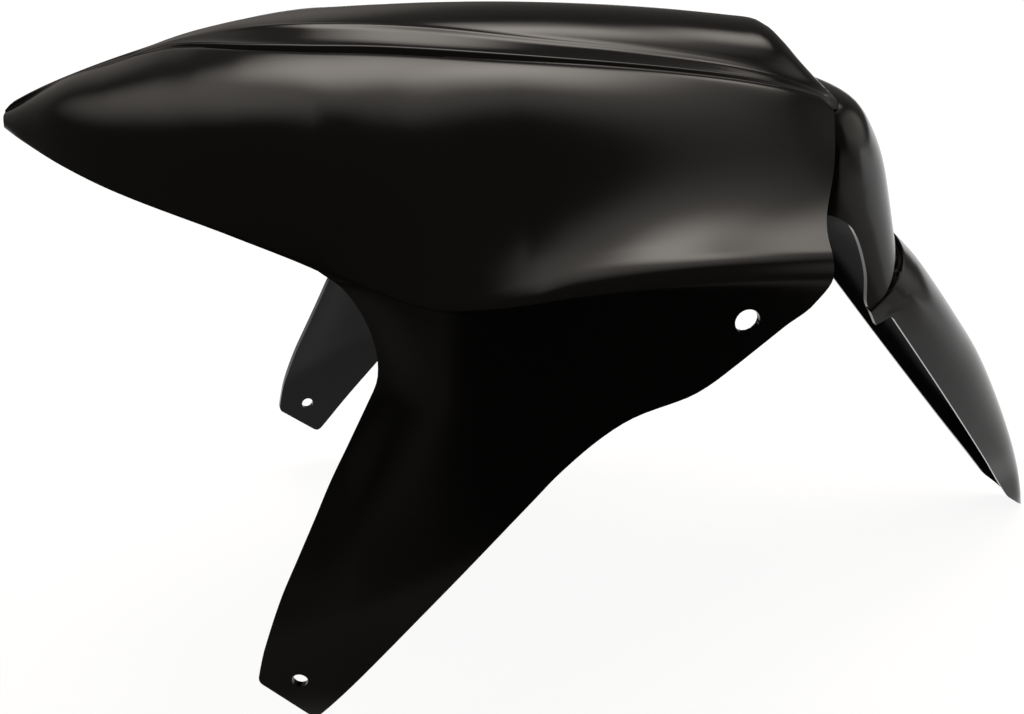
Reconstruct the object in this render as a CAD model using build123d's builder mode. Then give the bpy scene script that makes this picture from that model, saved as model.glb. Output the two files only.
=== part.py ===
from build123d import *
from math import cos, hypot, radians, sin, tan
import os

# Motorcycle front mudguard: one moulded shell of gloss black ABS, in millimetres.
# +X is forward (nose), +Y is the rider's left, +Z is up.
# The origin is midway between the two lower fork holes.

# Wall and fixing holes
wall = 3.0
lower_hole_diameter = 7.0
lower_hole_half = 125.0
pad_toe = 12.0
rear_hole_diameter = 10.0
rear_hole_margin = 31.5
rear_hole_z = 158.5

# Hood: nose, front corner and rear end along X, top of the spine and fold of the side plates in Z
nose_x = 106.0
corner_x = -27.0
hood_rear_x = -259.0
crown_z = 261.0
fold_z = 174.0

# Half-widths of the hood at the spine's edge and the groove, and the side plates' stand outside the holes
edge_half = 37.0
groove_half = 48.0
plate_margin = 3.0
plate_bow = 1.0

# Legs: the waist of the front edge, the pad round the lower hole, the straight rear edge
shin_x = -43.0
shin_z = 141.0
shin_run = 22.0
shin_drop = 49.0
ankle_back = 14.0
ankle_z = 40.0
instep_back = 5.3
instep_z = 18.0
pad_front = 18.3
pad_low_x = -5.0
pad_low_z = -22.5
calf_x = -112.0
calf_z = 96.0
calf_run = 30.0
calf_rise = 25.0
lobe_front = 13.0
lobe_depth = 27.5
lobe_rear = 17.0
pad_corner_radius = 4.0
foot_z = -40.0
bend_z = 25.0
bend_slope = 0.44

# Rear edge of the panels in plan, ahead of the hood's rear end
panel_lead = 42.5
panel_sweep = 32.5

# Tunnel and tail that reach down behind the wheel
tunnel_half = 49.0
tunnel_run = 53.0
tunnel_fall = 79.0
tunnel_edge_drop = 55.5
tail_half = 46.0
tail_step = 4.0
tail_run = 126.0
tail_fall = 190.0
clearance_high = 43.0
clearance_middle = 32.5
clearance_low = 28.7
clearance_start = 15.5
clearance_depth = 24.0
heel_depth = 40.0
heel_lead = 19.0
notch_depth = 31.5
notch_lead = 14.0
tip_run = 20.4
tip_rise = 14.3
tail_corner_radius = 2.0
past = 10.0

# Guide lines of the hood: (place, share) points joined by a smooth line.
# The place is 1 at the nose, 0 at the front corner and -1 at the rear end.
# Heights are shares of the rise from the fold to the crown.
ridge_height = [(1, 0.54), (0.96, 0.592), (0.8, 0.697), (0.56, 0.816), (0.26, 0.931), (-0.08, 0.986),
                (-0.31, 1), (-0.57, 0.972), (-0.82, 0.908), (-0.885, 0.868), (-0.945, 0.713), (-1, 0.54)]
groove_height = [(1, 0.534), (0.8, 0.69), (0.65, 0.759), (0.45, 0.848), (0.28, 0.878), (-0.06, 0.877),
                 (-0.31, 0.831), (-0.62, 0.753), (-0.84, 0.663), (-1, 0.54)]
edge_rise = [(1, 0.002), (0.54, 0.009), (0.34, 0.029), (0.165, 0.057), (-0.015, 0.076), (-0.23, 0.078),
             (-0.44, 0.055), (-0.75, 0.032), (-1, 0)]
waist_height = [(1, 0.488), (0.61, 0.299), (0.26, 0.149), (0, 0.017), (-0.155, -0.08), (-0.25, -0.069),
                (-0.4, -0.023), (-0.65, 0), (-1, -0.046)]
# Widths are shares of the half-widths above
edge_spread = [(1, 0.02), (0.54, 0.08), (0.34, 0.24), (0.2, 0.38), (0.015, 0.62), (-0.14, 0.78),
               (-0.31, 0.88), (-0.57, 0.945), (-1, 1)]
groove_spread = [(1, 0.03), (0.65, 0.08), (0.45, 0.21), (0.34, 0.42), (0.2, 0.67), (0.05, 0.82),
                 (-0.14, 0.905), (-0.4, 0.96), (-0.75, 1), (-1, 1)]
waist_spread = [(1, 0.04), (0.925, 0.14), (0.78, 0.297), (0.61, 0.43), (0.26, 0.625), (0, 0.758),
                (-0.155, 0.898), (-0.25, 0.945), (-0.4, 0.977), (-0.62, 1), (-1, 1)]
# Slopes of the panel at the groove and at the brow, in degrees, and the share of its curve that they hold
roll_angle = [(1, 3), (0.65, 3), (0.45, 10), (0.2, 18), (0, 20), (-0.44, 24), (-1, 26)]
flare_angle = [(1, 70), (0, 78), (-0.12, 62), (-0.25, 40), (-0.4, 26), (-0.6, 18), (-1, 15)]
curve_hold = [(1, 0.45), (0, 0.45), (-0.22, 0.42), (-0.44, 0.4), (-0.7, 0.4), (-1, 0.4)]
# Rise of the brow over the fold, in millimetres: there the panel turns down into the side plate
brow_rise = [(1, 1), (0.6, 1), (0, 2.5), (-0.15, 4), (-0.3, 6.5), (-0.5, 10), (-0.7, 12.5), (-0.85, 14),
             (-1, 15)]
brow_run = 9.0
hood_places = [0.992, 0.955, 0.88, 0.745, 0.565, 0.37, 0.19, 0, -0.108, -0.228, -0.366, -0.53, -0.703,
               -0.832, -0.885, -0.945, -1]

# Crown points of the tunnel: shares of its run and its fall, tilt in degrees, share of the half-width,
# square share of the round top, shoulder depth and full depth
tunnel_arches = [(-0.21, 0, 12, 1, 0.95, 25, 55), (0.06, 0.03, 20, 1, 0.86, 30, 55),
                 (0.28, 0.09, 32, 1, 0.76, 34, 52), (0.49, 0.24, 48, 1, 0.66, 36, 47),
                 (0.66, 0.42, 58, 0.98, 0.6, 36, 44), (0.79, 0.65, 60, 0.95, 0.58, 34, 42)]
# Crown points of the tail: the same values for its own run and fall
tail_arches = [(0, 0, 43, 1, 0.58, 30, 44), (0.11, 0.068, 46, 0.96, 0.58, 29, 42),
               (0.213, 0.144, 49, 0.925, 0.58, 29, 40), (0.36, 0.261, 50.5, 0.87, 0.58, 29, 38),
               (0.496, 0.375, 54, 0.8, 0.58, 28, 36), (0.631, 0.512, 59, 0.7, 0.58, 25, 33),
               (0.77, 0.675, 62, 0.55, 0.58, 17, 24), (0.877, 0.81, 65, 0.37, 0.58, 11, 16),
               (0.951, 0.924, 66, 0.26, 0.58, 8, 12), (1, 1, 66, 0.16, 0.58, 8, 11)]

hood_rise = crown_z - fold_z
plate_half = lower_hole_half + plate_margin
panel_rear_x = hood_rear_x + panel_lead
rear_hole_x = panel_rear_x + rear_hole_margin
tunnel_z = fold_z + 0.592 * hood_rise
tail_x = hood_rear_x - tunnel_run
tail_z = tunnel_z - tunnel_fall
nose_wall = wall / (nose_x - corner_x)


def hood_x(place):
    """X of a place on the hood."""
    return corner_x + (place * (nose_x - corner_x) if place > 0 else -place * (hood_rear_x - corner_x))


def along(line, place):
    """Value of a guide line at a place: cubic pieces through its points, with slopes from the neighbours."""
    points = [(-at, value) for at, value in line]
    at = min(max(-place, points[0][0]), points[-1][0])
    slopes = []
    for i in range(len(points)):
        before, after = points[max(i - 1, 0)], points[min(i + 1, len(points) - 1)]
        slopes.append((after[1] - before[1]) / (after[0] - before[0]))
    i = max(k for k in range(len(points) - 1) if points[k][0] <= at)
    (start, low), (end, high) = points[i], points[i + 1]
    step = end - start
    t = (at - start) / step
    return ((2 * t**3 - 3 * t**2 + 1) * low + (t**3 - 2 * t**2 + t) * step * slopes[i]
            + (3 * t**2 - 2 * t**3) * high + (t**3 - t**2) * step * slopes[i + 1])


def height(line, place):
    """Z of a guide line at a place."""
    return fold_z + hood_rise * along(line, place)


def plate_width(x):
    """Half-width of the leg's flat plate: toed in from the lower hole forward."""
    return min(lower_hole_half - tan(radians(pad_toe)) * x, plate_half + plate_bow)


def hood_section(place, inset):
    """Half section of the hood, as control points from the ridge to the foot, moved in by inset."""
    x, drop = hood_x(place), 1.1 * inset
    groove = (groove_half * along(groove_spread, place), height(groove_height, place))
    edge = (edge_half * along(edge_spread, place), groove[1] + hood_rise * along(edge_rise, place))
    waist = (plate_half * along(waist_spread, place), height(waist_height, place))
    roll, flare = radians(along(roll_angle, place)), radians(along(flare_angle, place))
    rise = along(brow_rise, place)
    run = min(brow_run, 0.8 * rise / tan(flare))
    brow = (waist[0] - run - inset * sin(flare), waist[1] + rise - inset * cos(flare))
    reach = along(curve_hold, place) * hypot(waist[0] - run - groove[0], waist[1] + rise - groove[1])
    sink = inset * (1 - sin(flare)) / cos(flare)
    return [(0, height(ridge_height, place) - drop), (edge[0], edge[1] - drop), (groove[0], groove[1] - drop),
            (groove[0] + reach * cos(roll) - inset * sin(roll), groove[1] - reach * sin(roll) - inset),
            (brow[0] - reach * cos(flare), brow[1] + reach * sin(flare)), brow,
            (waist[0] - inset, waist[1] + rise - run * tan(flare) - sink),
            (waist[0] - inset, waist[1] - sink),
            (plate_width(x) - inset, bend_z - bend_slope * x), (plate_width(x) - inset, foot_z)]


def mirrored(points):
    """The same points on the other side of the middle plane, in reverse order."""
    return [(-y, z) for y, z in reversed(points)]


def hood_form(places, inset):
    """Solid hood, lofted through its sections."""
    with BuildPart() as form:
        for place in places:
            ridge, edge, groove, roll, flare, brow, corner, waist, bend, foot = hood_section(place, inset)
            with BuildSketch(Plane.YZ.offset(hood_x(place))):
                with BuildLine():
                    top = (0.55 * edge[0], edge[1] + (ridge[1] - edge[1]) / 0.75)
                    Bezier(*mirrored([top, edge]), top, edge)
                    Line(edge, groove)
                    Bezier(groove, roll, flare, brow)
                    Bezier(brow, corner, waist)
                    Polyline(waist, bend, foot, *mirrored([waist, bend, foot]))
                    Bezier(*mirrored([brow, corner, waist]))
                    Bezier(*mirrored([groove, roll, flare, brow]))
                    Line(*mirrored([edge, groove]))
                make_face()
        loft()
    return form.part


def arch_form(arches, inset, extra):
    """Solid arched strip, lofted through sections square to its crown line: round top, straight skirts."""
    with BuildPart() as form:
        for x, z, tilt, half, square, shoulder, depth in arches:
            travel = (-cos(radians(tilt)), 0, -sin(radians(tilt)))
            side, low = half - inset, depth + extra
            arch = [(0, inset), (square * side, inset),
                    (side, inset + (1 - square) * shoulder), (side, inset + shoulder)]
            with BuildSketch(Plane((x, 0, z), x_dir=(0, 1, 0), z_dir=travel)):
                with BuildLine():
                    Bezier(*arch)
                    Polyline(arch[-1], (side, low), (-side, low), mirrored(arch)[0])
                    Bezier(*mirrored(arch))
                make_face()
        loft(ruled=True)
    return form.part


def shifted(section, travel, inward):
    """The same section, moved along its strip and towards the wheel."""
    x, z, tilt, *shape = section
    along_x, along_z = cos(radians(tilt)), sin(radians(tilt))
    return (x - travel * along_x + inward * along_z, z - travel * along_z - inward * along_x, tilt, *shape)


def placed(arches, x, z, run, fall, half):
    """Sections of a strip that starts at (x, z), from shares of its run, its fall and its half-width."""
    return [(x - run * along_run, z - fall * along_fall, tilt, half * share, *shape)
            for along_run, along_fall, tilt, share, *shape in arches]


tail_sections = placed(tail_arches, tail_x, tail_z, tail_run, tail_fall, tail_half)
x, z, tilt, half, square, shoulder, depth = shifted(tail_sections[0], 0, tail_step)
neck = (x, z, tilt, half - 0.2 * tail_step, square, shoulder - tail_step / 2, depth - 1.5 * tail_step)
tunnel_sections = placed(tunnel_arches, hood_rear_x, tunnel_z, tunnel_run, tunnel_fall, tunnel_half) + [neck]
tunnel_bore = [shifted(tunnel_sections[0], -wall, 0), *tunnel_sections[1:-1], shifted(neck, 2 * wall, 0)]
tail_bore = [shifted(tail_sections[0], wall, 0), *tail_sections[1:-1]]
hood_bore = [place - nose_wall if abs(place) > 0.8 else place for place in hood_places]

with BuildPart() as mudguard_shell:
    add(hood_form(hood_places, 0))
    add(hood_form(hood_bore, wall), mode=Mode.SUBTRACT)
    # Rear edge of the hood in plan
    with BuildSketch(Plane.XY.offset(foot_z)):
        with BuildLine():
            rear_edge = Spline((panel_rear_x - panel_sweep, groove_half),
                               (panel_rear_x - 0.66 * panel_sweep, 0.61 * plate_half),
                               (panel_rear_x - 0.2 * panel_sweep, 0.84 * plate_half),
                               (panel_rear_x, plate_half + past))
            Polyline(rear_edge @ 1, (hood_rear_x - past, plate_half + past),
                     (hood_rear_x - past, 0.7 * groove_half), rear_edge @ 0)
        make_face()
        mirror(about=Plane.XZ)
    extrude(amount=crown_z - foot_z + past, mode=Mode.SUBTRACT)
    # Side view outline of the hood, the legs and the side plates
    with BuildSketch(Plane.XZ):
        with BuildLine():
            front = Line((nose_x + past, fold_z + 0.53 * hood_rise),
                         (corner_x + 4, fold_z + 0.031 * hood_rise))
            corner = Spline(front @ 1, (shin_x + 5, shin_z + 20.5), (shin_x, shin_z),
                            tangents=(front % 1, (0.18, -1)))
            shin = Spline(corner @ 1, (shin_x + shin_run, shin_z - shin_drop),
                          (pad_front - ankle_back, ankle_z), (pad_front - instep_back, instep_z),
                          tangents=(corner % 1, (0.35, -1)))
            toe = FilletPolyline(shin @ 1, (pad_front, -1), (pad_low_x, pad_low_z), (calf_x, calf_z),
                                 radius=pad_corner_radius)
            calf = Spline(toe @ 1, (calf_x - calf_run, calf_z + calf_rise),
                          (rear_hole_x + lobe_front, rear_hole_z - lobe_depth),
                          tangents=(toe % 1, (-0.73, 0.68)))
            lobe = Line(calf @ 1, (rear_hole_x - lobe_rear, rear_hole_z - 0.24 * past))
            heel = Spline(lobe @ 1, (panel_rear_x, fold_z + 5), tangents=(lobe % 1, (-0.1, 1)))
            Polyline(heel @ 1, (hood_rear_x - past, fold_z), (hood_rear_x - past, crown_z + past),
                     (nose_x + past, crown_z + past), front @ 0)
        make_face()
    extrude(amount=plate_half + past, both=True, mode=Mode.INTERSECT)
    add(arch_form(tunnel_sections, 0, 0))
    add(arch_form(tail_sections, 0, 0))
    add(arch_form(tail_bore, wall, past), mode=Mode.SUBTRACT)
    add(arch_form(tunnel_bore, wall, past), mode=Mode.SUBTRACT)
    # Low edge of the tunnel and tail in side view: fork clearance, heel and notch, straight run, blunt tip
    with BuildSketch(Plane.XZ):
        with BuildLine():
            edge_z = tunnel_z - tunnel_edge_drop
            clearance = Spline((hood_rear_x + 2, edge_z), (tail_x + clearance_high, tail_z + clearance_start),
                               (tail_x + clearance_middle, tail_z - 0.55 * past),
                               (tail_x + clearance_low, tail_z - clearance_depth),
                               tangents=((-1, 0), (-0.2, -1)))
            tip_x, tip_z = tail_x - tail_run, tail_z - tail_fall
            tail_edge = FilletPolyline(clearance @ 1, (tail_x + heel_lead, tail_z - heel_depth),
                                       (tail_x + notch_lead, tail_z - notch_depth),
                                       (tip_x + tip_run, tip_z + tip_rise), (tip_x - 2, tip_z - 0.4 * wall),
                                       radius=tail_corner_radius)
            Polyline(tail_edge @ 1, (tip_x - 2, tip_z - 2 * past), (panel_rear_x - 6, tip_z - 2 * past),
                     (panel_rear_x - 6, edge_z), clearance @ 0)
        make_face()
    extrude(amount=tunnel_half + past, both=True, mode=Mode.SUBTRACT)
    for side in (1, -1):
        pad_normal = (sin(radians(pad_toe)), side * cos(radians(pad_toe)), 0)
        with BuildSketch(Plane((0, side * lower_hole_half, 0), z_dir=pad_normal)):
            Circle(lower_hole_diameter / 2)
        extrude(amount=4 * wall, both=True, mode=Mode.SUBTRACT)
        with BuildSketch(Plane((rear_hole_x, side * plate_half, rear_hole_z), z_dir=(0, side, 0))):
            Circle(rear_hole_diameter / 2)
        extrude(amount=4 * wall, both=True, mode=Mode.SUBTRACT)
mudguard_shell.part.label = "mudguard_shell"

os.makedirs("parts", exist_ok=True)
export_step(mudguard_shell.part, "parts/mudguard_shell.step")
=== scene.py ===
import bpy
import numpy as np
from mathutils import Matrix, Vector


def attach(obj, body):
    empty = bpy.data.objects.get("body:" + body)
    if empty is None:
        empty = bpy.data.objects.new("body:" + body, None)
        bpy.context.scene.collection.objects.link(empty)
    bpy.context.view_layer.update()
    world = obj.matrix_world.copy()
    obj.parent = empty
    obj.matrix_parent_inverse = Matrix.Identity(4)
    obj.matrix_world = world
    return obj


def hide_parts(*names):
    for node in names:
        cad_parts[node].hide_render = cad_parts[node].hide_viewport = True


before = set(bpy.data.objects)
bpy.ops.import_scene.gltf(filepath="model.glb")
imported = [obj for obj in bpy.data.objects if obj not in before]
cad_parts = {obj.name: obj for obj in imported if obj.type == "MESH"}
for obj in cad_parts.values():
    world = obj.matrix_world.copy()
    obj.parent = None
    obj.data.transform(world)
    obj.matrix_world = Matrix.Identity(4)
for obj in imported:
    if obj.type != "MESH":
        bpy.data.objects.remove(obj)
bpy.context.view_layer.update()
mm = 0.001
print("frame loaded")


# Lines and grids. Lengths are millimetres until a mesh is made.

def guideLine(points, at):
    # Cubic pieces through (place, value) points; the slope at a point comes from its two neighbours
    place, value = np.array(sorted(points), float).T
    index = np.arange(len(place))
    before, after = np.maximum(index - 1, 0), np.minimum(index + 1, len(place) - 1)
    slope = (value[after] - value[before]) / (place[after] - place[before])
    at = np.clip(at, place[0], place[-1])
    low = np.clip(np.searchsorted(place, at, side="right") - 1, 0, len(place) - 2)
    step = place[low + 1] - place[low]
    t = (at - place[low]) / step
    return ((2 * t**3 - 3 * t**2 + 1) * value[low] + (t**3 - 2 * t**2 + t) * step * slope[low]
            + (3 * t**2 - 2 * t**3) * value[low + 1] + (t**3 - t**2) * step * slope[low + 1])


def guideColumns(points, reach, at):
    # One guide line for each column of the points, which lie at distances along a line
    return np.stack([guideLine(list(zip(reach, column)), at) for column in points.T], axis=-1)


def lengthAlong(line):
    # Distance from the first point to each point of a line
    return np.r_[0, np.cumsum(np.linalg.norm(np.diff(line, axis=0), axis=1))]


def lineAt(line, shares):
    # Points at shares of a line's length, straight between the points that it has
    length = lengthAlong(line)
    at = np.asarray(shares) * length[-1]
    return np.stack([np.interp(at, length, column) for column in line.T], axis=-1)


def smoothLine(points, shares, fineness=800):
    # A smooth line through the points, read at shares of its length
    points = np.array(points, float)
    reach = lengthAlong(points)
    return lineAt(guideColumns(points, reach, np.linspace(0, reach[-1], fineness)), shares)


def softLess(a, b, blend):
    # The lesser of two values, with the corner between them rounded over about the blend
    return -blend * np.logaddexp(-a / blend, -b / blend)


def gridFaces(rows, columns, cut=None):
    # Quads of a grid of points, without the cells that are cut out
    index = np.arange(rows * columns).reshape(rows, columns)
    quads = np.stack([index[:-1, :-1], index[1:, :-1], index[1:, 1:], index[:-1, 1:]], axis=-1)
    return quads.reshape(-1, 4) if cut is None else quads[~cut]


def relax(grid, strength, passes):
    # Moves each point of a row towards the middle of its two neighbours, by a strength for each point
    for _ in range(passes):
        middle = 0.5 * (grid[:, :-2] + grid[:, 2:])
        grid[:, 1:-1] += strength[:, 1:-1, None] * (middle - grid[:, 1:-1])
    return grid


# Hood: spine, groove and side panels, as sections across X between guide lines.
# A place is 1 at the nose, 0 at the front corner and -1 at the rear end.
hood = {
    "noseX": 106, "tipX": 104.9, "seamX": -23, "cornerX": -27, "blendX": -165, "rearX": -259,
    "crownZ": 261, "foldZ": 174, "edgeHalf": 37, "grooveHalf": 48, "plateHalf": 128,
    # Heights, as shares of the rise from the fold to the crown
    "ridgeHeight": [(1, .54), (.96, .592), (.8, .697), (.56, .816), (.26, .931), (-.08, .986), (-.31, 1),
                    (-.57, .972), (-.82, .908), (-.885, .868), (-.945, .713), (-1, .54)],
    "grooveHeight": [(1, .534), (.8, .69), (.65, .759), (.45, .848), (.28, .878), (-.06, .877),
                     (-.31, .831), (-.62, .753), (-.84, .663), (-1, .54)],
    "edgeRise": [(1, .002), (.54, .009), (.34, .029), (.165, .057), (-.015, .076), (-.23, .078),
                 (-.44, .055), (-.75, .032), (-1, 0)],
    "waistHeight": [(1, .488), (.61, .299), (.26, .149), (0, .017), (-.155, -.08), (-.25, -.069),
                    (-.4, -.023), (-.65, 0), (-1, -.046)],
    # Widths, as shares of the half-widths above
    "edgeSpread": [(1, .02), (.54, .08), (.34, .24), (.2, .38), (.015, .62), (-.14, .78), (-.31, .88),
                   (-.57, .945), (-1, 1)],
    "grooveSpread": [(1, .03), (.65, .08), (.45, .21), (.34, .42), (.2, .67), (.05, .82), (-.14, .905),
                     (-.4, .96), (-.75, 1), (-1, 1)],
    "waistSpread": [(1, .04), (.925, .14), (.78, .297), (.61, .43), (.26, .625), (0, .758), (-.155, .898),
                    (-.25, .945), (-.4, .977), (-.62, 1), (-1, 1)],
    # Slopes of the panel in degrees, how far the curves hold their slopes, and the turn over the brow
    "rollAngle": [(1, 3), (.65, 3), (.45, 10), (.2, 18), (0, 20), (-.3, 24), (-.45, 27), (-.6, 32),
                  (-.75, 35), (-1, 36)],
    "flareAngle": [(1, 70), (0, 78), (-.12, 62), (-.25, 40), (-.4, 27), (-.6, 21), (-1, 20)],
    "crownHold": 0.55,
    "curveHold": [(1, .45), (0, .45), (-.22, .42), (-.44, .4), (-.7, .4), (-1, .4)],
    "browRise": [(1, 1), (.6, 1), (0, 2.5), (-.15, 4), (-.3, 6.5), (-.5, 9.5), (-.7, 10.5), (-.85, 11),
                 (-1, 11.5)],
    "browRun": 9, "browHold": 0.8,
    # Rear edge seen in plan, as (y, x), and how the place of each column's end is found
    "spineEnd": [(0, -259), (38, -259), (48, -249)],
    "panelEnd": [(48, -249), (78, -238), (107.5, -223), (138, -216.5)],
    "endGuess": -0.9, "endTries": 20,
    # Columns across a section and rows along the hood
    "crownShares": [0, .2, .4, .58, .72, .83, .91, .955, .98, 1],
    "stripShares": [.03, .07, .14, .26, .42, .58, .72, .82, .89, .935, .965, .985, 1],
    "panelShares": [.003, .007, .012, .019, .03, .045, .065, .09, .12, .155, .19, .23, .27, .31, .35, .39,
                    .43, .47, .51, .55, .59, .63, .67, .71, .75, .79, .83, .87, .91, .95, 1],
    "browShares": [.1, .2, .3, .4, .5, .6, .7, .8, .9, 1],
    "frontRows": 56, "middleRows": 62, "rearRows": 34, "rearCrowding": 1.6,
    # Groove, lip, bead and softened edges
    "grooveDepth": [(1, 0), (.62, 0), (.42, .8), (.28, 1.6), (-.3, 1.6), (-.5, 1.1), (-1, 1)],
    "grooveWall": 0.6, "grooveWidth": 1.8, "lipShare": 0.35, "lipWidth": 3,
    "beadHeight": [(1, 0), (.3, 0), (.1, .35), (-.8, .45), (-1, .2)], "beadWidth": 1.4,
    "edgeSoft": 0.5, "edgeReach": 3, "grooveSoft": 0.25, "grooveReach": 2, "edgePasses": 6,
    "endSink": 4.5, "endRun": 6, "endFade": 5,
}
hoodAhead, hoodBehind = hood["noseX"] - hood["cornerX"], hood["cornerX"] - hood["rearX"]
hoodRise = hood["crownZ"] - hood["foldZ"]
edgeColumn = len(hood["crownShares"]) - 1
grooveColumn = edgeColumn + len(hood["stripShares"])
browColumn = grooveColumn + len(hood["panelShares"])
foldColumn = browColumn + len(hood["browShares"])


def hoodPlace(x):
    # Distance from the front corner, as a share of the length on that side of it
    return (x - hood["cornerX"]) / np.where(x > hood["cornerX"], hoodAhead, hoodBehind)


def hoodX(place):
    # The x of a place, which undoes hoodPlace
    return hood["cornerX"] + place * np.where(place > 0, hoodAhead, hoodBehind)


def hoodHeight(line, place):
    # The fold's height plus a guide line's share of the rise
    return hood["foldZ"] + hoodRise * guideLine(hood[line], place)


def hoodSurface(place):
    # Across a section: half of a cubic curve over the spine from the ridge to its edge, a straight strip
    # down to the groove, a cubic curve that leaves the groove at the roll angle and reaches the brow at the
    # flare angle, then a parabola that turns down over the brow to the fold
    crown, strip, panel, brow = np.split(place, [edgeColumn + 1, grooveColumn + 1, browColumn + 1], axis=1)

    def spineCorners(at):
        grooveZ = hoodHeight("grooveHeight", at)
        return (hood["edgeHalf"] * guideLine(hood["edgeSpread"], at),
                grooveZ + hoodRise * guideLine(hood["edgeRise"], at),
                hood["grooveHalf"] * guideLine(hood["grooveSpread"], at), grooveZ)

    def browCorners(at):
        foldY, foldZ = hood["plateHalf"] * guideLine(hood["waistSpread"], at), hoodHeight("waistHeight", at)
        rise, flare = guideLine(hood["browRise"], at), np.radians(guideLine(hood["flareAngle"], at))
        run = np.minimum(hood["browRun"], hood["browHold"] * rise / np.tan(flare))
        return foldY, foldZ, foldY - run, foldZ + rise, foldZ + rise - run * np.tan(flare), flare

    t = 0.5 + 0.5 * np.array(hood["crownShares"])
    edgeY, edgeZ, _, _ = spineCorners(crown)
    y = [edgeY * (t**3 - (1 - t)**3 + 3 * hood["crownHold"] * t * (1 - t) * (2 * t - 1))]
    z = [edgeZ + 4 * (hoodHeight("ridgeHeight", crown) - edgeZ) * t * (1 - t)]

    t = np.array(hood["stripShares"])
    edgeY, edgeZ, grooveY, grooveZ = spineCorners(strip)
    y.append(edgeY + t * (grooveY - edgeY))
    z.append(edgeZ + t * (grooveZ - edgeZ))

    t = np.array(hood["panelShares"])
    _, _, grooveY, grooveZ = spineCorners(panel)
    _, _, browY, browZ, _, flare = browCorners(panel)
    reach = guideLine(hood["curveHold"], panel) * np.hypot(browY - grooveY, browZ - grooveZ)
    roll = np.radians(guideLine(hood["rollAngle"], panel))
    a, b, c, d = (1 - t)**3, 3 * t * (1 - t)**2, 3 * t**2 * (1 - t), t**3
    y.append((a + b) * grooveY + b * reach * np.cos(roll) + (c + d) * browY - c * reach * np.cos(flare))
    z.append((a + b) * grooveZ - b * reach * np.sin(roll) + (c + d) * browZ + c * reach * np.sin(flare))

    t = np.array(hood["browShares"])
    foldY, foldZ, browY, browZ, cornerZ, _ = browCorners(brow)
    y.append((1 - t)**2 * browY + (2 * t - t**2) * foldY)
    z.append((1 - t)**2 * browZ + 2 * t * (1 - t) * cornerZ + t**2 * foldZ)
    return np.stack([hoodX(place), np.concatenate(y, axis=1), np.concatenate(z, axis=1)], axis=-1)


def hoodGrid():
    # Rows share their place as far as the blend line; behind it they fan out to the rear edge seen in plan.
    # A column's end lies where its width meets that edge, which is tried again until it settles.
    columns = np.arange(foldColumn + 1)
    endPlace = np.full((1, len(columns)), hood["endGuess"])
    for _ in range(hood["endTries"]):
        y = hoodSurface(endPlace)[..., 1]
        spineX, panelX = np.interp(y, *zip(*hood["spineEnd"])), guideLine(hood["panelEnd"], y)
        endPlace = hoodPlace(np.where(columns <= grooveColumn, spineX, panelX))
    seam, blend = hood["seamX"], hood["blendX"]
    x = np.r_[np.linspace(hood["tipX"], seam, hood["frontRows"]),
              np.linspace(seam, blend, hood["middleRows"])[1:]]
    place = np.repeat(hoodPlace(x)[:, None], len(columns), axis=1)
    share = 1 - (1 - np.linspace(0, 1, hood["rearRows"])[1:, None])**hood["rearCrowding"]
    grid = hoodSurface(np.vstack([place, place[-1] + share * (endPlace - place[-1])]))
    strength = np.zeros(grid.shape[:2])
    for column, soft, reach in ((edgeColumn, "edgeSoft", "edgeReach"),
                                (grooveColumn, "grooveSoft", "grooveReach")):
        strength[:, column - hood[reach]:column + hood[reach] + 1] = hood[soft]
    grid = relax(grid, strength, hood["edgePasses"])
    # The groove is a bell-shaped dip measured across from the groove line, steep under the strip, whose lip
    # stands a little proud; a bead of the same bell shape runs along the spine's edge
    at = hoodPlace(grid[..., 0])
    length = np.cumsum(np.linalg.norm(np.diff(grid, axis=1, prepend=grid[:, :1]), axis=2), axis=1)
    across, beside = length - length[:, [grooveColumn]], length - length[:, [edgeColumn]]
    dip = np.exp(-(across / np.where(across < 0, hood["grooveWall"], hood["grooveWidth"]))**2)
    lip = np.where(across < 0, np.exp(-(across / hood["lipWidth"])**2) * (1 - dip), 0)
    grid[..., 2] += guideLine(hood["grooveDepth"], at) * (hood["lipShare"] * lip - dip)
    grid[..., 2] += guideLine(hood["beadHeight"], at) * np.exp(-(beside / hood["beadWidth"])**2)
    # Over its last run the spine sinks into the tunnel, by the square of the share, and the corner of the
    # panel follows
    sink = np.clip(1 - (grid[..., 0] - grid[-1:, :, 0]) / hood["endRun"], 0, 1)**2
    grid[..., 2] -= hood["endSink"] * sink * np.clip(1 - across / hood["endFade"], 0, 1)
    return grid


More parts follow.
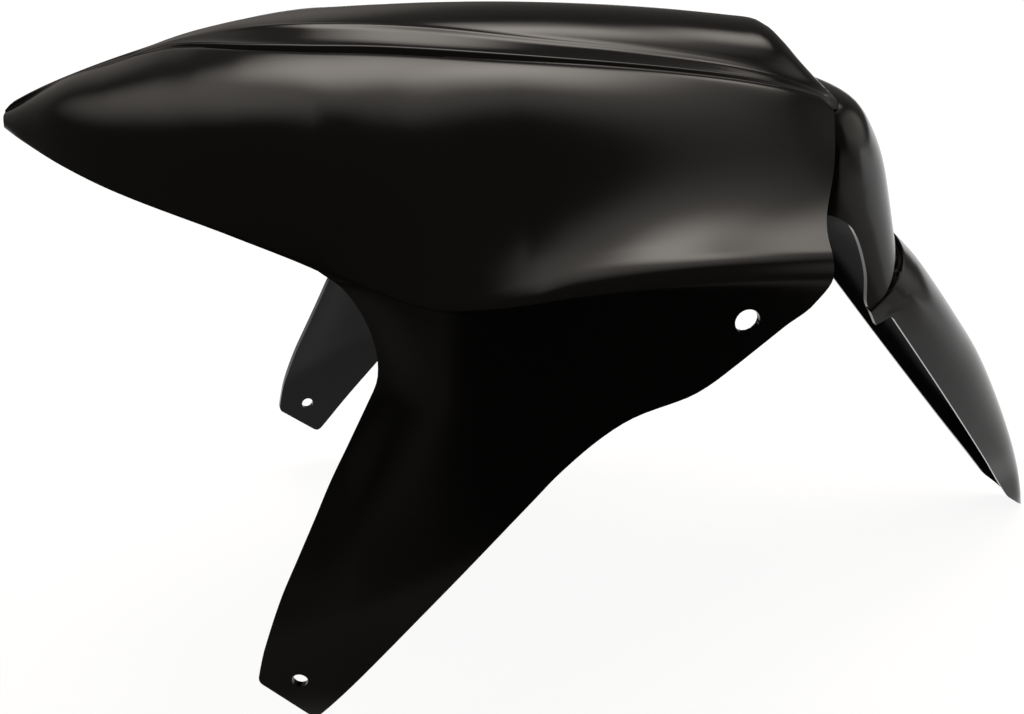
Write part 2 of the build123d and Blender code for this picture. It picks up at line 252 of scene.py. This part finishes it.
# Leg: a patch between the fold, the front edge, the pad's foot and the rear edge, in side view as (x, z).
# A hole is its centre in that view and its radius.
leg = {
    "frontEdge": [(-31, 171.8), (-36.4, 164.5), (-40.3, 156), (-42.4, 148), (-43, 141), (-42.1, 133.5),
                  (-38, 124.5), (-30, 109), (-21, 92), (-12.8, 75), (-4.3, 57.7), (4.3, 40), (13, 18),
                  (16.6, 5), (17.5, 1)],
    "foot": [(17.4, -.8), (16.6, -2.5), (14.6, -4.4), (-1.2, -19), (-3, -20.5), (-5, -21)],
    "rearEdge": [(-214.5, 167), (-209, 161), (-202, 156.1), (-196, 151.1), (-180, 137.7), (-172, 131.5),
                 (-164, 127), (-142, 119.5), (-128, 110.5), (-112, 96), (-102, 84.9), (-60, 38.4),
                 (-12, -14.7), (-8, -19), (-7, -20)],
    "columns": 62, "crowding": 1.25,
    "plateHalf": 129, "holeHalf": 125, "toeAngle": 12, "toeBlend": 1.2,
    "bendZ": 25, "bendSlope": 0.44, "bendBlend": 0.35,
    "rollDepth": [(-25, 0), (20, 0), (45, 1.6), (92, 4.2), (140, 5), (160, 2.5), (172, 0), (180, 0)],
    "rollWidth": 13,
    "foldSoft": 0.5, "foldPasses": 4, "foldColumns": 4, "foldFade": 9,
    "holes": [((0, 0), 3.5), ((-185, 158.5), 5)], "holeMargin": 2.1,
    "holeRings": [.3, .55, .75, .88, .96, 1],
}
legShares = np.linspace(0, 1, leg["columns"])**leg["crowding"]
legToe = np.tan(np.radians(leg["toeAngle"]))


def legWidth(x, z):
    # A straight slope from the fold out to the bend line, then the flat pad, toed in ahead of the lower hole
    place = hoodPlace(x)
    foldY = hood["plateHalf"] * guideLine(hood["waistSpread"], place)
    foldZ = hoodHeight("waistHeight", place)
    plate = softLess(leg["holeHalf"] - legToe * x, leg["plateHalf"], leg["toeBlend"])
    slope = foldY + (plate - foldY) * (foldZ - z) / (foldZ - leg["bendZ"] + leg["bendSlope"] * x)
    return softLess(slope, plate, leg["bendBlend"])


def legGrid(fold):
    # Blend of the four edges: the two straight blends between facing edges, less the blend of the corners.
    # The front edge rolls in by a bell-shaped dip measured back from it.
    top = fold[:, [0, 2]]
    u = lengthAlong(top)
    u = (u / u[-1])[:, None, None]
    t = legShares[None, :, None]
    corner = np.array(leg["frontEdge"][-1]), np.array(leg["rearEdge"][-1])
    front = smoothLine([tuple(top[0]), *leg["frontEdge"]], legShares)[None]
    rear = smoothLine([tuple(top[-1]), *leg["rearEdge"]], legShares)[None]
    foot = smoothLine([leg["frontEdge"][-1], *leg["foot"], leg["rearEdge"][-1]], u.ravel())[:, None]
    flat = ((1 - t) * top[:, None] + t * foot + (1 - u) * front + u * rear
            - (1 - t) * ((1 - u) * top[0] + u * top[-1]) - t * ((1 - u) * corner[0] + u * corner[1]))
    x, z = flat[..., 0], flat[..., 1]
    inside = np.maximum(front[..., 0] - x, 0)
    y = legWidth(x, z) - guideLine(leg["rollDepth"], z) * np.exp(-(inside / leg["rollWidth"])**2)
    grid = np.stack([x, y, z], axis=-1)
    grid[:, 0] = fold
    return grid


def roundFold(panels, plates):
    # Rounds the fold by relaxing the rows that run across it, fading in from the front corner
    both = np.concatenate([panels, plates[:, 1:]], axis=1)
    strength = np.zeros(both.shape[:2])
    width = leg["foldColumns"]
    fade = np.minimum(np.arange(len(both)) / leg["foldFade"], 1)
    strength[:, foldColumn - width:foldColumn + width + 1] = leg["foldSoft"] * fade[:, None]
    both = relax(both, strength, leg["foldPasses"])
    return both[:, :foldColumn + 1], both[:, foldColumn:]


def holeRing(grid, centre, radius):
    # Cells round a hole are cut out and filled with rings that run from the cut's edge to the circle
    flat = grid[..., [0, 2]]
    distance = np.linalg.norm(flat - np.array(centre), axis=-1)
    row, column = np.unravel_index(distance.argmin(), distance.shape)
    margin = leg["holeMargin"] * radius
    rowReach = int(np.ceil(margin / np.linalg.norm(flat[row + 1, column] - flat[row, column])))
    columnReach = int(np.ceil(margin / np.linalg.norm(flat[row, column + 1] - flat[row, column])))
    r0, r1, c0, c1 = row - rowReach, row + rowReach, column - columnReach, column + columnReach
    rows = np.r_[np.full(c1 - c0, r0), np.arange(r0, r1), np.full(c1 - c0, r1), np.arange(r1, r0, -1)]
    columns = np.r_[np.arange(c0, c1), np.full(r1 - r0, c1), np.arange(c1, c0, -1), np.full(r1 - r0, c0)]
    edge = grid[rows, columns]
    angle = np.arctan2(edge[:, 2] - centre[1], edge[:, 0] - centre[0])
    circle = np.stack([centre[0] + radius * np.cos(angle), centre[1] + radius * np.sin(angle)], axis=-1)
    share = np.array([0, *leg["holeRings"]])[:, None, None]
    rings = (1 - share) * edge[:, [0, 2]] + share * circle
    points = np.stack([rings[..., 0], legWidth(rings[..., 0], rings[..., 1]), rings[..., 1]], axis=-1)
    points[0] = edge
    points = np.concatenate([points, points[:, :1]], axis=1)
    cut = np.zeros((grid.shape[0] - 1, grid.shape[1] - 1), bool)
    cut[r0:r1, c0:c1] = True
    return points, cut


# Tunnel and tail: arched sections square to a crown line, each as
# (x, z, tilt, half-width, squareness, shoulder depth). The low edge is in side view as (x, z).
tail = {
    "tunnelSections": [(-246, 223.5, 12, 48, .88, 26), (-262.2, 223.1, 20, 49, .84, 30),
                       (-273.8, 218.4, 32, 49, .76, 34), (-285, 206.5, 48, 49, .66, 36),
                       (-294, 192.3, 58, 48, .6, 36), (-300.9, 174.2, 60, 46.6, .58, 34),
                       (-309.3, 143.6, 43, 45.2, .58, 28)],
    "tailSections": [(-312, 146.5, 43, 46, .58, 30), (-325.9, 133.6, 46, 44.2, .58, 29),
                     (-338.8, 119.1, 49, 42.6, .58, 29), (-357.4, 96.9, 50.5, 40, .58, 29),
                     (-374.5, 75.3, 54, 36.8, .58, 28), (-391.5, 49.2, 59, 32.2, .58, 25),
                     (-409, 18.3, 62, 25.3, .58, 17), (-422.5, -7.4, 65, 17, .58, 11),
                     (-431.8, -29.1, 66, 12, .58, 8), (-437.6, -42.6, 66, 7.4, .58, 8)],
    "clearance": [(-215, 170), (-248, 170), (-257, 169.8), (-269, 162), (-279.5, 141), (-283.3, 122.5)],
    "edge": [(-292.4, 107.2), (-293.6, 107.4), (-297.2, 113.9), (-298.6, 114.2), (-417.6, -29.2),
             (-441, -46.5)],
    "curveSamples": 200, "edgeSamples": 4000, "leastDepth": 1,
    "tunnelRows": 42, "tailRows": 84, "columns": 34,
    "shapeGuess": 0.45, "shapeTries": 25, "leastSlope": 0.001,
    "stepRows": [0.5, 1.1, 2, 3.2], "stepClear": 5, "stepShares": [.3, .7], "stepSoft": 0.4, "stepPasses": 2,
    "tuckX": -250, "tuckWidth": 4, "tuckDepth": 2, "tuckFrom": (4, 20),
}


def crownLength(sections):
    # Length of the line through the tops of the sections
    return lengthAlong(np.array(sections, float)[:, :2])[-1]


def archSections(sections, rows):
    # Section values at distances along the crown line
    values = np.array(sections, float)
    return guideColumns(values, lengthAlong(values[:, :2]), rows)


def lowDepth(values):
    # Depth at which each section's own plane meets the low edge seen from the side
    curve = smoothLine(tail["clearance"], np.linspace(0, 1, tail["curveSamples"]))
    line = lineAt(np.vstack([curve, tail["edge"]]), np.linspace(0, 1, tail["edgeSamples"]))
    tilt = np.radians(values[:, 2, None])
    across = line[None] - values[:, None, :2]
    depth = across[..., 0] * np.sin(tilt) - across[..., 1] * np.cos(tilt)
    travel = across[..., 0] * np.cos(tilt) + across[..., 1] * np.sin(tilt)
    meets = (np.sign(travel[:, :-1]) != np.sign(travel[:, 1:])) & (depth[:, :-1] > 0)
    return np.where(meets, depth[:, :-1], np.inf).min(axis=1)


def archSurface(values, low):
    # Depth grows with the square of the share across; the half-width follows a cubic round top, then a
    # straight skirt. The curve's own share t at a depth is found by Newton's steps.
    x, z, tilt, half, square, shoulder = (column[:, None] for column in values.T)
    depth = low[:, None] * np.linspace(0, 1, tail["columns"])**2
    target = np.clip(depth / shoulder, 0, 1)
    t = target**tail["shapeGuess"]
    for _ in range(tail["shapeTries"]):
        value = 3 * (1 - t) * t**2 * (1 - square) + t**3
        slope = (1 - square) * (6 * t - 9 * t**2) + 3 * t**2
        t = np.clip(t - (value - target) / np.maximum(slope, tail["leastSlope"]), 0, 1)
    y = half * (3 * (1 - t)**2 * t * square + 3 * (1 - t) * t**2 + t**3)
    tilt = np.radians(tilt)
    return np.stack([x + depth * np.sin(tilt), y, z - depth * np.cos(tilt)], axis=-1)


def tailGrid():
    # Rows of the tunnel, of the step where the tail overlaps it, and of the tail, closer together at the step
    near, clear = np.array(tail["stepRows"]), tail["stepClear"]
    tunnelLength, tailLength = crownLength(tail["tunnelSections"]), crownLength(tail["tailSections"])
    tunnelRows = np.r_[np.linspace(0, tunnelLength - clear, tail["tunnelRows"]),
                       tunnelLength - near[::-1], tunnelLength]
    tailRows = np.r_[0, near, np.linspace(clear, tailLength, tail["tailRows"])]
    tunnelValues = archSections(tail["tunnelSections"], tunnelRows)
    tailValues = archSections(tail["tailSections"], tailRows)
    tunnel = archSurface(tunnelValues, lowDepth(tunnelValues))
    # The sides of the tunnel tuck in next to the panels, as a bell-shaped dip along X
    fade = np.clip(np.interp(tunnel[0, 0, 2] - tunnel[..., 2], tail["tuckFrom"], (0, 1)), 0, 1)
    dip = np.exp(-((tunnel[..., 0] - tail["tuckX"]) / tail["tuckWidth"])**2)
    tunnel[..., 1] -= tail["tuckDepth"] * fade * dip
    rear = archSurface(tailValues, np.maximum(lowDepth(tailValues), tail["leastDepth"]))
    step = np.stack([tunnel[-1] + share * (rear[0] - tunnel[-1]) for share in tail["stepShares"]])
    grid = np.concatenate([tunnel, step, rear])
    strength = np.zeros(grid.shape[:2])
    first = len(tunnel) - len(near)
    strength[first:first + 2 * len(near) + len(step) + 2] = tail["stepSoft"]
    return relax(grid.transpose(1, 0, 2).copy(), strength.T, tail["stepPasses"]).transpose(1, 0, 2)


# Shell: both halves of an outer skin, an inner skin behind it by the wall, and a rim between the open
# edges. The outward directions tell which way the faces of each grid look.
shell = {
    "wall": 3.0, "tipX": -405, "tipWall": 1.2, "rimWidth": 0.8, "rimAngle": 55, "rimSegments": 3,
    "outward": {"panels": (0, .3, 1), "plates": (0, 1, 0), "rear": (-.6, .8, .3)},
    "weldDigits": 4, "leastNormal": 1e-9,
}


def facingOut(points, faces, outward):
    # Turns the faces that look away from the outward direction
    a, b, c, d = (points[faces[:, i]] for i in range(4))
    away = np.cross(c - a, d - b) @ np.array(outward, float) < 0
    faces[away] = faces[away, ::-1]
    return faces


def welded(grids):
    # Joins the grids and their mirror images, and merges points that lie in one place
    points, faces, start = [], [], 0
    for grid, cut, side in grids:
        flat = grid.reshape(-1, 3)
        outFaces = facingOut(flat, gridFaces(*grid.shape[:2], cut), shell["outward"][side])
        points += [flat, flat * (1, -1, 1)]
        faces += [outFaces + start, outFaces[:, ::-1] + start + len(flat)]
        start += 2 * len(flat)
    points, faces = np.concatenate(points), np.concatenate(faces)
    rounded = np.round(points, shell["weldDigits"])
    _, first, where = np.unique(rounded, axis=0, return_index=True, return_inverse=True)
    points, faces = points[first], where.reshape(-1)[faces]
    used, faces = np.unique(faces, return_inverse=True)
    return points[used], faces.reshape(-1, 4)


def thickened(points, faces):
    # The inner skin lies along the averaged normals, thinner towards the tail's tip; an edge that only one
    # face has is open, and gets a face of the rim
    a, b, c, d = (points[faces[:, i]] for i in range(4))
    faceNormal = np.cross(c - a, d - b)
    normal = np.zeros_like(points)
    for i in range(4):
        np.add.at(normal, faces[:, i], faceNormal)
    normal /= np.maximum(np.linalg.norm(normal, axis=1, keepdims=True), shell["leastNormal"])
    share = np.clip((points[:, 0] - points[:, 0].min()) / (shell["tipX"] - points[:, 0].min()), 0, 1)
    wall = shell["tipWall"] + (shell["wall"] - shell["tipWall"]) * share
    inner = points - normal * wall[:, None]
    ends = np.stack([faces, np.roll(faces, -1, axis=1)], axis=-1).reshape(-1, 2)
    key = np.sort(ends, axis=1) @ np.array([len(points), 1])
    _, where, count = np.unique(key, return_inverse=True, return_counts=True)
    rim = ends[(count[where.reshape(-1)] == 1) & (ends[:, 0] != ends[:, 1])]
    n = len(points)
    rimFaces = np.stack([rim[:, 1], rim[:, 0], rim[:, 0] + n, rim[:, 1] + n], axis=-1)
    return np.concatenate([points, inner]), np.concatenate([faces, faces[:, ::-1] + n, rimFaces])


def makeMesh(name, points, faces):
    # Faces keep each corner once, so a quad with a doubled corner becomes a triangle
    corners = faces != np.roll(faces, 1, axis=1)
    faces, corners = faces[corners.sum(axis=1) > 2], corners[corners.sum(axis=1) > 2]
    loops, totals = faces[corners], corners.sum(axis=1)
    mesh = bpy.data.meshes.new(name)
    mesh.vertices.add(len(points))
    mesh.vertices.foreach_set("co", (points * mm).astype(np.float32).ravel())
    mesh.loops.add(len(loops))
    mesh.loops.foreach_set("vertex_index", loops.astype(np.int32))
    mesh.polygons.add(len(faces))
    mesh.polygons.foreach_set("loop_start", np.r_[0, np.cumsum(totals)[:-1]].astype(np.int32))
    mesh.polygons.foreach_set("loop_total", totals.astype(np.int32))
    mesh.polygons.foreach_set("use_smooth", np.ones(len(faces), bool))
    mesh.update(calc_edges=True)
    mesh.validate()
    piece = bpy.data.objects.new(name, mesh)
    bpy.context.scene.collection.objects.link(piece)
    return piece


def buildShell():
    panels = hoodGrid()
    seamRow = hood["frontRows"] - 1
    plates = legGrid(panels[seamRow:, foldColumn])
    panels[seamRow:], plates = roundFold(panels[seamRow:], plates)
    rings = [holeRing(plates, *hole) for hole in leg["holes"]]
    cut = np.logical_or.reduce([ringCut for _, ringCut in rings])
    grids = [(panels, None, "panels"), (plates, cut, "plates"), (tailGrid(), None, "rear")]
    grids += [(ring, None, "plates") for ring, _ in rings]
    points, faces = thickened(*welded(grids))
    piece = makeMesh("mudguardSkin", points, faces)
    # Faces whose corners all lie on the inner skin take the second material
    mesh = piece.data
    corner, start = np.zeros(len(mesh.loops), np.int32), np.zeros(len(mesh.polygons), np.int32)
    mesh.loops.foreach_get("vertex_index", corner)
    mesh.polygons.foreach_get("loop_start", start)
    inside = np.minimum.reduceat(corner, start) >= len(points) // 2
    mesh.polygons.foreach_set("material_index", inside.astype(np.int32))
    bevel = piece.modifiers.new("rim", "BEVEL")
    bevel.width, bevel.segments = shell["rimWidth"] * mm, shell["rimSegments"]
    bevel.limit_method, bevel.angle_limit = "ANGLE", np.radians(shell["rimAngle"])
    bevel.harden_normals = True
    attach(piece, "root")
    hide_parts("mudguard_shell")
    return piece


skin = buildShell()
print("shell built", len(skin.data.vertices), "points", len(skin.data.polygons), "faces")


# Materials

def linear(code):
    # Linear colour of an sRGB hex code
    value = np.array([int(code[i:i + 2], 16) for i in (1, 3, 5)]) / 255
    value = np.where(value <= 0.04045, value / 12.92, ((value + 0.055) / 1.055)**2.4)
    return (*value, 1.0)


def addNode(tree, kind, inputs=(), **settings):
    # A node with its settings; an input is set to a value, or linked where the value is a node's output
    node = tree.nodes.new(kind)
    for name, value in settings.items():
        setattr(node, name, value)
    for name, value in dict(inputs).items():
        if isinstance(value, bpy.types.NodeSocket):
            tree.links.new(value, node.inputs[name])
        else:
            node.inputs[name].default_value = value
    return node


def newMaterial(name):
    material = bpy.data.materials.new(name)
    material.use_nodes = True
    material.node_tree.nodes.clear()
    return material, material.node_tree


# Black ABS, moulded. The outer face comes out of a polished mould, so it mirrors the room, with a faint
# ripple and a cloudy shine. The inner face is duller and has a finer grain. Sizes of the patterns are
# millimetres.
finishes = {
    "polishedAbs": {"colours": ("#050404", "#080706"), "roughness": (0.12, 0.18), "shine": 0.5, "ior": 1.4,
                    "cloudSize": 60, "rippleSize": 5, "rippleHeight": 0.004},
    "mouldedAbs": {"colours": ("#060505", "#090808"), "roughness": (0.25, 0.33), "shine": 0.27, "ior": 1.4,
                   "cloudSize": 40, "rippleSize": 1.6, "rippleHeight": 0.004},
}
patterns = {"cloudDetail": 3.0, "cloudRange": (0.3, 0.7), "rippleDetail": 1.0}


def plasticMaterial(name):
    # A wide noise clouds the colour and the roughness, and a fine one raises the ripple or grain
    finish = finishes[name]
    material, tree = newMaterial(name)
    place = addNode(tree, "ShaderNodeTexCoord").outputs["Object"]
    cloud = addNode(tree, "ShaderNodeTexNoise", {"Vector": place, "Scale": 1 / (finish["cloudSize"] * mm),
                                                 "Detail": patterns["cloudDetail"]}).outputs["Fac"]
    ripple = addNode(tree, "ShaderNodeTexNoise", {"Vector": place, "Scale": 1 / (finish["rippleSize"] * mm),
                                                  "Detail": patterns["rippleDetail"]})
    bump = addNode(tree, "ShaderNodeBump", {"Strength": 1.0, "Distance": finish["rippleHeight"] * mm,
                                            "Height": ripple.outputs["Fac"]})
    deep, pale = (linear(code) for code in finish["colours"])
    colour = addNode(tree, "ShaderNodeMix", {0: cloud, 6: deep, 7: pale}, data_type="RGBA")
    (least, most), (smooth, dull) = patterns["cloudRange"], finish["roughness"]
    rough = addNode(tree, "ShaderNodeMapRange", {"Value": cloud, "From Min": least, "From Max": most,
                                                 "To Min": smooth, "To Max": dull})
    surface = addNode(tree, "ShaderNodeBsdfPrincipled",
                      {"Base Color": colour.outputs[2], "Roughness": rough.outputs["Result"],
                       "IOR": finish["ior"], "Specular IOR Level": finish["shine"],
                       "Normal": bump.outputs["Normal"]})
    addNode(tree, "ShaderNodeOutputMaterial", {"Surface": surface.outputs["BSDF"]})
    return material


for finishName in finishes:
    skin.data.materials.append(plasticMaterial(finishName))
print("materials made")


# Stage: pale floor, studio lights, camera.
# A floor edge is a direction in plan and two distances along it, between which a tone comes in. The middle
# and dark tones are painted shade on the floor ahead of and beside the object, standing in for the unlit
# camera side of the room: mirrored and bounced rays meet them as painted dark reflections, and the view sees
# a pale floor.
stage = {
    "floorZ": -43.6, "floorSize": 12000, "floorRoughness": 0.9,
    # The middle and dark colours are painted shade, met only by mirrored and bounced rays ahead of the object
    "floorColour": "#f4f3f1", "middleShadeColour": "#8f8e8c", "darkShadeColour": "#262625",
    "floorEdges": {"back": ((0.25, 1, 0), 115, 165), "dark": ((0.25, 1, 0), 190, 300),
                   "side": ((-1, 0.577, 0), 140, 320), "rear": ((1, 0, 0), -620, -440)},
    "backWhite": 0.8, "backStrength": (1.14, 1.25), "backReach": (500, 1800),
    "worldColour": "#fff7ef", "worldStrength": 0.12,
    "cameraAt": (-36.07, 458.79, 320.96), "cameraLook": (-0.1505, -0.8791, -0.4522),
    "lens": 35.156, "sensor": 36.0, "clip": (10, 50000),
}
# Softboxes: azimuth from +X towards +Y, elevation, distance, heading of the long side, size, radiance and the
# share of the half-size at full light
lights = {
    "target": (-120, 20, 150), "colour": "#fff7ef",
    "boxes": {"overhead": (-80, 68, 1300, -6, (1450, 820), 4.9, 0.1),
              "overheadRear": (-146, 70, 1300, -45, (740, 660), 4.2, 0.1),
              "flareEnd": (-150, 53, 1450, -60, (760, 560), 3.5, 0.1),
              "front": (-10, 61, 1500, 0, (2100, 1600), 1.5, 0.2),
              "top": (-170, 75, 1500, 0, (1700, 1500), 1.2, 0.2),
              "rear": (160, 22, 1400, 70, (2600, 1800), 0.9, 0.4),
              "farSide": (-55, 18, 2500, 35, (5200, 2000), 0.14, 0.4)},
}


def buildFloor():
    # A diffuse floor that also shows white to view rays, and under and behind the object to mirror rays; for
    # other rays its colour is painted with shade ahead of the object
    material, tree = newMaterial("paleFloor")
    place = addNode(tree, "ShaderNodeTexCoord").outputs["Object"]
    share = {}
    for name, (along, start, end) in stage["floorEdges"].items():
        reach = addNode(tree, "ShaderNodeVectorMath", {0: place, 1: along}, operation="DOT_PRODUCT")
        ramp = addNode(tree, "ShaderNodeMapRange", {"Value": reach.outputs["Value"], "From Min": start * mm,
                                                    "From Max": end * mm}, interpolation_type="SMOOTHSTEP")
        share[name] = ramp.outputs["Result"]
    rays = addNode(tree, "ShaderNodeLightPath").outputs
    # The painted shade tones, away from view rays
    unseen = addNode(tree, "ShaderNodeMath", {0: 1.0, 1: rays["Is Camera Ray"]}, operation="SUBTRACT")
    dark = addNode(tree, "ShaderNodeMath", {0: share["dark"], 1: share["side"]}, operation="MULTIPLY")
    shadeShare = addNode(tree, "ShaderNodeMath", {0: share["back"], 1: share["rear"]}, operation="MULTIPLY")
    shadeShare = addNode(tree, "ShaderNodeMath", {0: shadeShare.outputs[0], 1: unseen.outputs[0]}, operation="MULTIPLY")
    # Painted shade: ahead of the object the floor's colour goes grey, then near black, for all rays but view
    # rays
    tone = addNode(tree, "ShaderNodeMix", {0: dark.outputs[0], 6: linear(stage["middleShadeColour"]),
                                           7: linear(stage["darkShadeColour"])}, data_type="RGBA")
    tone = addNode(tree, "ShaderNodeMix", {0: shadeShare.outputs[0], 6: linear(stage["floorColour"]),
                                           7: tone.outputs[2]}, data_type="RGBA")
    surface = addNode(tree, "ShaderNodeBsdfPrincipled", {"Roughness": stage["floorRoughness"],
                                                         "Base Color": tone.outputs[2]})
    # The share of white
    near = addNode(tree, "ShaderNodeMath", {0: 1.0, 1: share["back"]}, operation="SUBTRACT")
    mirrored = addNode(tree, "ShaderNodeMath", {0: rays["Is Glossy Ray"], 1: rays["Is Transmission Ray"]},
                       operation="ADD")
    white = addNode(tree, "ShaderNodeMath", {0: mirrored.outputs[0], 1: near.outputs[0],
                                             2: rays["Is Camera Ray"]},
                    operation="MULTIPLY_ADD", use_clamp=True)
    white = addNode(tree, "ShaderNodeMath", {0: white.outputs[0], 1: stage["backWhite"]},
                    operation="MULTIPLY")
    # The lamps' light falls off with distance, so the white grows there
    reach = addNode(tree, "ShaderNodeVectorMath", {0: place}, operation="LENGTH").outputs["Value"]
    (start, end), (weak, strong) = stage["backReach"], stage["backStrength"]
    strength = addNode(tree, "ShaderNodeMapRange", {"Value": reach, "From Min": start * mm,
                                                    "From Max": end * mm, "To Min": weak, "To Max": strong})
    glow = addNode(tree, "ShaderNodeEmission", {"Strength": strength.outputs["Result"]})
    mix = addNode(tree, "ShaderNodeMixShader", {0: white.outputs[0], 1: surface.outputs["BSDF"],
                                                2: glow.outputs["Emission"]})
    addNode(tree, "ShaderNodeOutputMaterial", {"Surface": mix.outputs["Shader"]})
    half = stage["floorSize"] / 2
    corners = np.array([(-half, -half), (half, -half), (half, half), (-half, half)])
    points = np.column_stack([corners, np.full(len(corners), stage["floorZ"])])
    floor = makeMesh("floor", points, np.array([[0, 1, 2, 3]]))
    floor.data.materials.append(material)


def softBox(name, azimuth, elevation, distance, heading, size, radiance, core):
    # An area light whose light fades smoothly from its core to its edge; its own coordinates run from 0 to 1
    lamp = bpy.data.lights.new(name, "AREA")
    lamp.shape, lamp.size, lamp.size_y = "RECTANGLE", size[0] * mm, size[1] * mm
    lamp.energy = radiance * np.pi * lamp.size * lamp.size_y
    lamp.color = linear(lights["colour"])[:3]
    lamp.use_nodes = True
    tree = lamp.node_tree
    tree.nodes.clear()
    place = addNode(tree, "ShaderNodeNewGeometry").outputs["Parametric"]
    centred = addNode(tree, "ShaderNodeVectorMath", {0: place, 1: (0.5, 0.5, 0)}, operation="DISTANCE")
    fade = addNode(tree, "ShaderNodeMapRange", {"Value": centred.outputs["Value"], "From Min": 0.5 * core,
                                                "From Max": 0.5, "To Min": 1.0, "To Max": 0.0},
                   interpolation_type="SMOOTHSTEP")
    glow = addNode(tree, "ShaderNodeEmission", {"Strength": fade.outputs["Result"]})
    addNode(tree, "ShaderNodeOutputLight", {"Surface": glow.outputs["Emission"]})
    light = bpy.data.objects.new(name, lamp)
    turn, rise, aim = np.radians([azimuth, elevation, heading])
    away = Vector((np.cos(rise) * np.cos(turn), np.cos(rise) * np.sin(turn), np.sin(rise)))
    side = away.cross(Vector((np.cos(aim), np.sin(aim), 0))).normalized()
    light.location = (Vector(lights["target"]) + distance * away) * mm
    light.rotation_mode = "QUATERNION"
    light.rotation_quaternion = Matrix((side.cross(away), side, away)).transposed().to_quaternion()
    bpy.context.scene.collection.objects.link(light)


def buildLights():
    for name, box in lights["boxes"].items():
        softBox(name, *box)
    world = bpy.data.worlds.new("studio")
    world.use_nodes = True
    background = world.node_tree.nodes["Background"]
    background.inputs["Color"].default_value = linear(stage["worldColour"])
    background.inputs["Strength"].default_value = stage["worldStrength"]
    bpy.context.scene.world = world


def buildCamera():
    camera = bpy.data.objects.new("camera", bpy.data.cameras.new("camera"))
    camera.data.lens, camera.data.sensor_width = stage["lens"], stage["sensor"]
    camera.data.clip_start, camera.data.clip_end = (distance * mm for distance in stage["clip"])
    camera.location = Vector(stage["cameraAt"]) * mm
    camera.rotation_mode = "QUATERNION"
    camera.rotation_quaternion = Vector(stage["cameraLook"]).to_track_quat("-Z", "Y")
    bpy.context.scene.collection.objects.link(camera)
    bpy.context.scene.camera = camera


buildFloor()
buildLights()
buildCamera()
bpy.context.scene.view_settings.view_transform = "Standard"
print("stage set")
